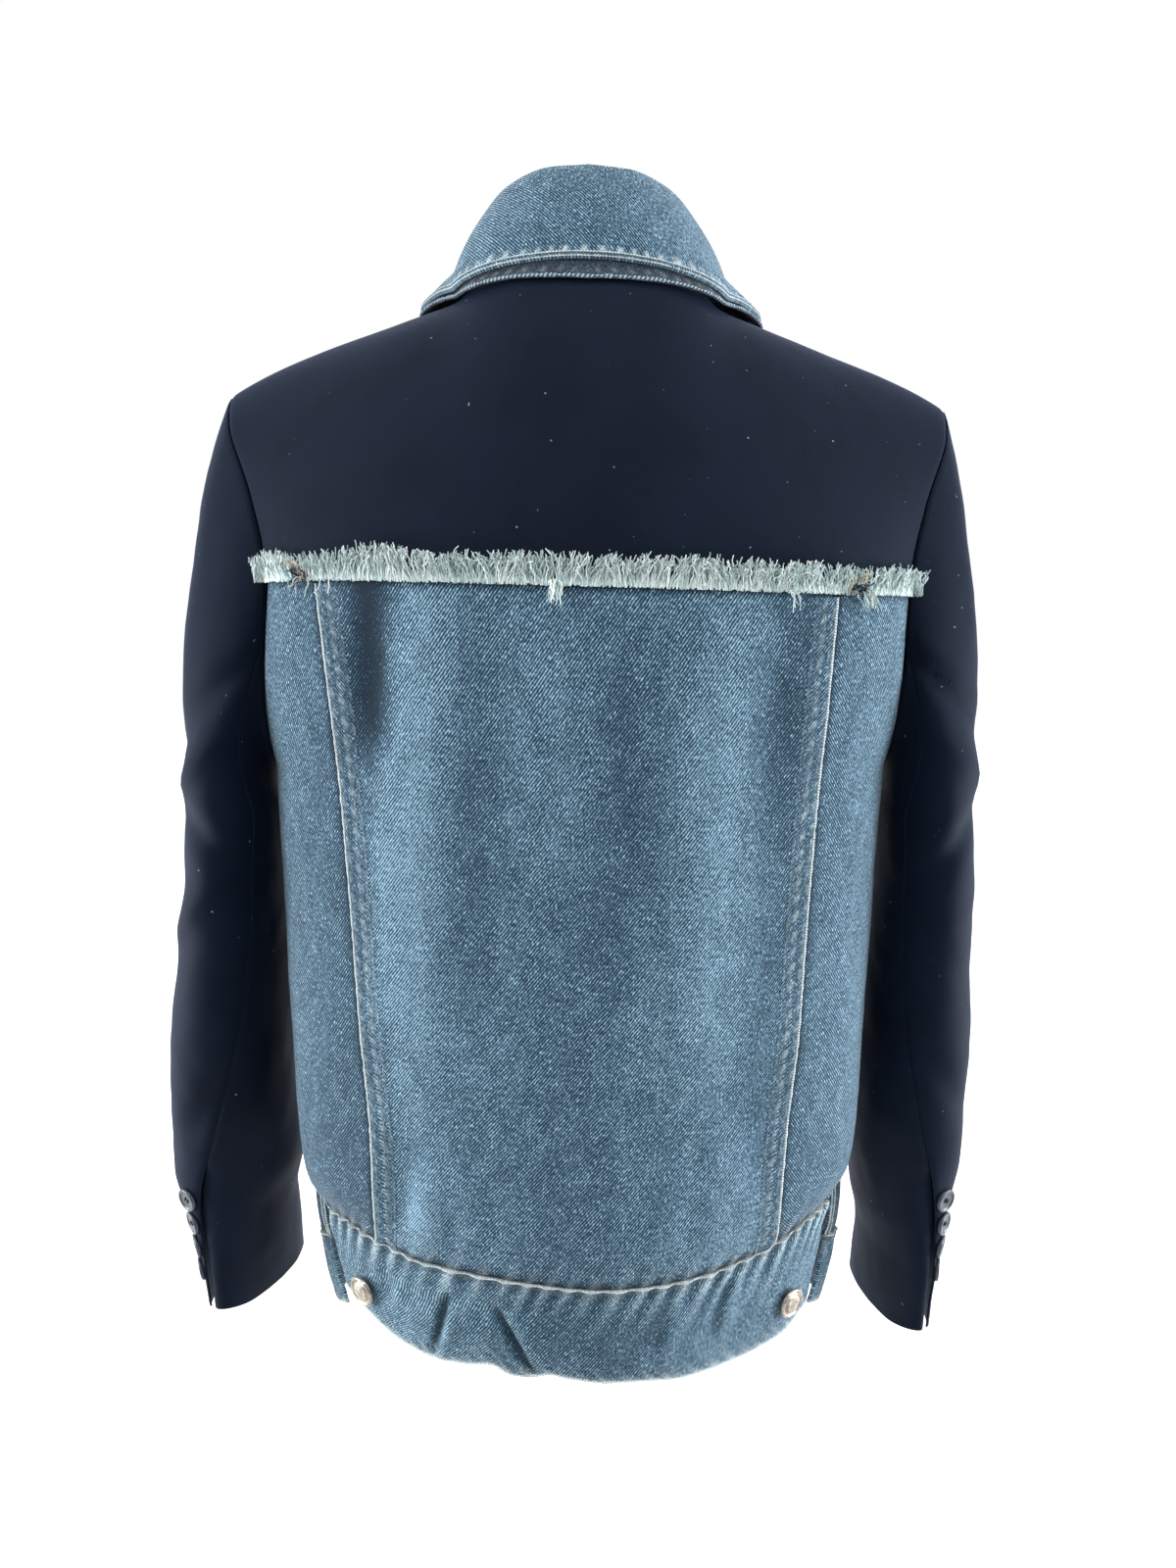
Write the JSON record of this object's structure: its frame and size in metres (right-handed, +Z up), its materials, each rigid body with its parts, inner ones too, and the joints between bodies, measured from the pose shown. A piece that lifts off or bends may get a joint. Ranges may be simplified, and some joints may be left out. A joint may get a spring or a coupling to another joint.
{
  "type": "denim blazer",
  "caption": "Worn jacket, open and hollow: suiting upper back and sleeves, denim collar, denim back with a frayed top edge, felled seams and a buttoned waistband.",
  "frame": {"origin": "between the wearer's shoulders, level with the foot of the neck, where the wearer carries the garment", "axes": "+Z up along the wearer, -Y the front of the garment, +X the wearer's left"},
  "size_m": [0.5096, 0.2541, 0.6947],
  "materials": {
    "navy_suiting": "fine dark navy twill suiting with a soft sheen",
    "washed_denim": "light washed blue denim, worn pale at the seams",
    "dark_denim": "darker indigo denim",
    "frayed_thread": "pale loose cotton thread",
    "brushed_silver": "brushed warm silver",
    "navy_button": "dark navy, satin"
  },
  "bodies": {
    "root": {"back_band": "washed_denim", "back_panel_centre": "washed_denim", "back_panel_left": "washed_denim", "back_panel_right": "washed_denim", "back_yoke": "navy_suiting", "band_button_left": "brushed_silver", "band_button_right": "brushed_silver", "collar_leaf": "washed_denim", "collar_stand": "washed_denim", "collar_under_leaf": "dark_denim", "cuff_button_left_1": "navy_button", "cuff_button_left_2": "navy_button", "cuff_button_left_3": "navy_button", "cuff_button_left_4": "navy_button", "cuff_button_right_1": "navy_button", "cuff_button_right_2": "navy_button", "cuff_button_right_3": "navy_button", "cuff_button_right_4": "navy_button", "felled_seam_left": "washed_denim", "felled_seam_right": "washed_denim", "frayed_strip": "frayed_thread", "front_band_left": "washed_denim", "front_band_right": "washed_denim", "front_button_1": "brushed_silver", "front_button_2": "brushed_silver", "front_button_3": "brushed_silver", "front_button_4": "brushed_silver", "front_button_5": "brushed_silver", "front_panel_left": "washed_denim", "front_panel_right": "washed_denim", "front_yoke_left": "navy_suiting", "front_yoke_right": "navy_suiting", "top_sleeve_left": "navy_suiting", "top_sleeve_right": "navy_suiting", "under_sleeve_left": "navy_suiting", "under_sleeve_right": "navy_suiting"}
  },
  "joints": []
}
